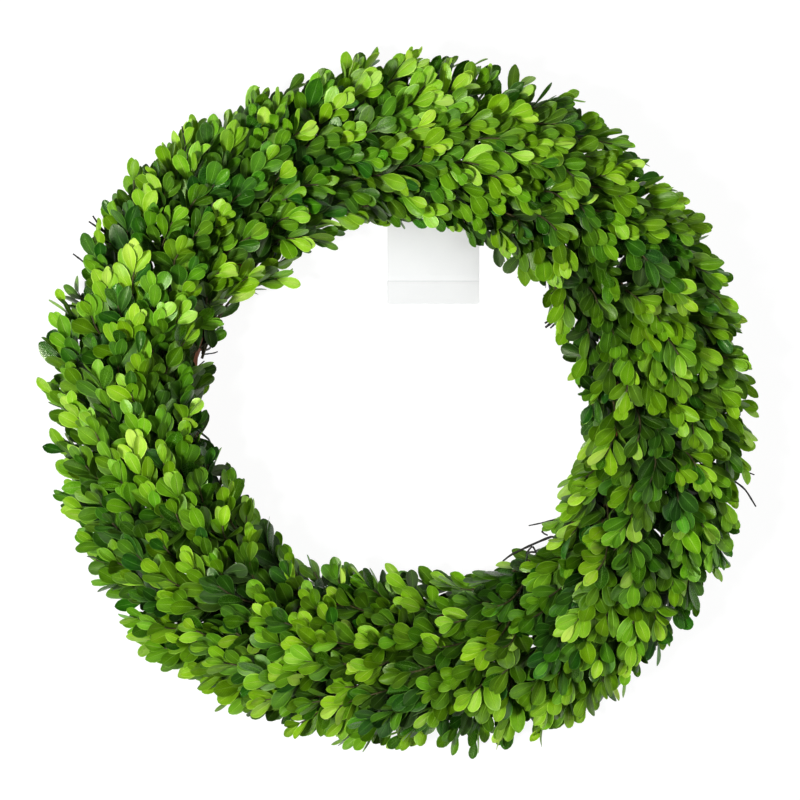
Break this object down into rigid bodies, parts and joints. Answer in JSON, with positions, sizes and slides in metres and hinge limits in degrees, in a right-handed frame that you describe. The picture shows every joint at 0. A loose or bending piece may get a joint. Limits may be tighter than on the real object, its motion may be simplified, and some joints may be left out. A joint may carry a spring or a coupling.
{
  "type": "boxwood wreath",
  "caption": "Round leafy wreath of boxwood bunches bound with wire to a twisted vine ring, lying on its back, with a blank hang tag.",
  "frame": {"origin": "middle of the outline, on the surface that the wreath lies on", "axes": "+Z out of the front face, away from the surface; +Y towards the side where the hang tag is, the top as it would hang"},
  "size_m": [0.5058, 0.4954, 0.088],
  "materials": {
    "vine_bark": "rough twisted vine",
    "binding_wire": "green coated, satin",
    "tag_paper": "matt card",
    "boxwood_inner": "fresh leaves, satin",
    "boxwood_crown": "fresh leaves, satin",
    "boxwood_shoulder": "fresh leaves, satin",
    "boxwood_outer": "fresh leaves, satin"
  },
  "bodies": {
    "root": {"vine_strand_1": "vine_bark", "vine_strand_2": "vine_bark", "vine_strand_3": "vine_bark", "vine_strand_4": "vine_bark", "binding_wire": "binding_wire", "hang_tag": "tag_paper", "bunch_inner_01": "boxwood_inner", "bunch_inner_02": "boxwood_inner", "bunch_inner_03": "boxwood_inner", "bunch_inner_04": "boxwood_inner", "bunch_inner_05": "boxwood_inner", "bunch_inner_06": "boxwood_inner", "bunch_inner_07": "boxwood_inner", "bunch_inner_08": "boxwood_inner", "bunch_inner_09": "boxwood_inner", "bunch_inner_10": "boxwood_inner", "bunch_inner_11": "boxwood_inner", "bunch_inner_12": "boxwood_inner", "bunch_crown_01": "boxwood_crown", "bunch_crown_02": "boxwood_crown", "bunch_crown_03": "boxwood_crown", "bunch_crown_04": "boxwood_crown", "bunch_crown_05": "boxwood_crown", "bunch_crown_06": "boxwood_crown", "bunch_crown_07": "boxwood_crown", "bunch_crown_08": "boxwood_crown", "bunch_crown_09": "boxwood_crown", "bunch_crown_10": "boxwood_crown", "bunch_crown_11": "boxwood_crown", "bunch_crown_12": "boxwood_crown", "bunch_shoulder_01": "boxwood_shoulder", "bunch_shoulder_02": "boxwood_shoulder", "bunch_shoulder_03": "boxwood_shoulder", "bunch_shoulder_04": "boxwood_shoulder", "bunch_shoulder_05": "boxwood_shoulder", "bunch_shoulder_06": "boxwood_shoulder", "bunch_shoulder_07": "boxwood_shoulder", "bunch_shoulder_08": "boxwood_shoulder", "bunch_shoulder_09": "boxwood_shoulder", "bunch_shoulder_10": "boxwood_shoulder", "bunch_shoulder_11": "boxwood_shoulder", "bunch_shoulder_12": "boxwood_shoulder", "bunch_outer_01": "boxwood_outer", "bunch_outer_02": "boxwood_outer", "bunch_outer_03": "boxwood_outer", "bunch_outer_04": "boxwood_outer", "bunch_outer_05": "boxwood_outer", "bunch_outer_06": "boxwood_outer", "bunch_outer_07": "boxwood_outer", "bunch_outer_08": "boxwood_outer", "bunch_outer_09": "boxwood_outer", "bunch_outer_10": "boxwood_outer", "bunch_outer_11": "boxwood_outer", "bunch_outer_12": "boxwood_outer"}
  },
  "joints": []
}
